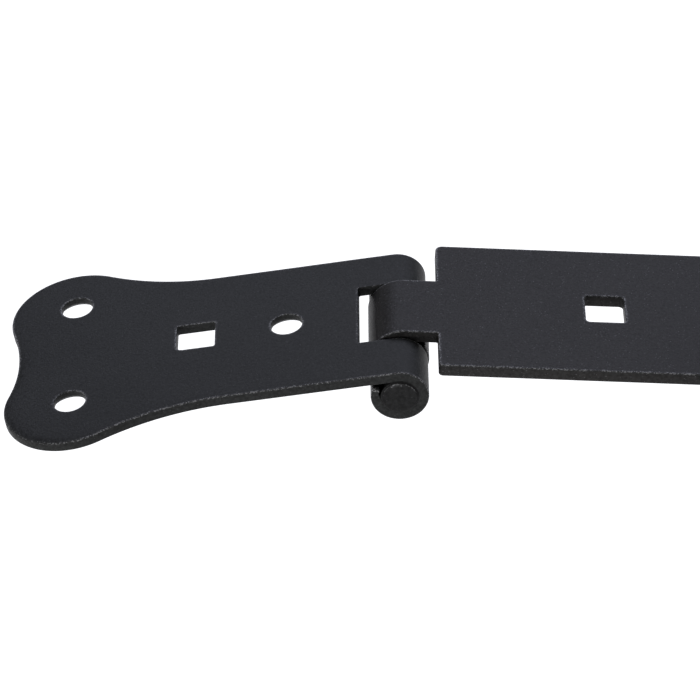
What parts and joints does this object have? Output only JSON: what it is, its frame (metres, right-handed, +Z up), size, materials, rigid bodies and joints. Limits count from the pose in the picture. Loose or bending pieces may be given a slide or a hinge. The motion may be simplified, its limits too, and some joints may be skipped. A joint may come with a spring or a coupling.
{
  "type": "strap hinge",
  "caption": "Strap hinge for a door or gate: a long flat strap and a short lobed leaf turn on a riveted pin, with round and square fixing holes, coated black.",
  "frame": {"origin": "middle of the barrel, on the axis of the hinge pin", "axes": "+Y along the pin, +X towards the strap, -X towards the lobed leaf, +Z up from the table that the two plates' ends lie on, barrel underneath"},
  "size_m": [0.3885, 0.062, 0.018],
  "materials": {
    "leaf_coat": "fine textured black powder coat, semi-matt",
    "strap_coat": "fine textured black powder coat, semi-matt",
    "pin_coat": "black powder coat, a little thinner over the riveted heads"
  },
  "bodies": {
    "leaf": {"leaf": "leaf_coat", "hinge_pin": "pin_coat"},
    "strap": {"strap": "strap_coat"}
  },
  "joints": [
    {"name": "hinge", "type": "hinge", "parent": "leaf", "child": "strap", "pos_m": [0, 0, 0], "axis": [0, 1, 0], "range_deg": [-104, 172]}
  ]
}
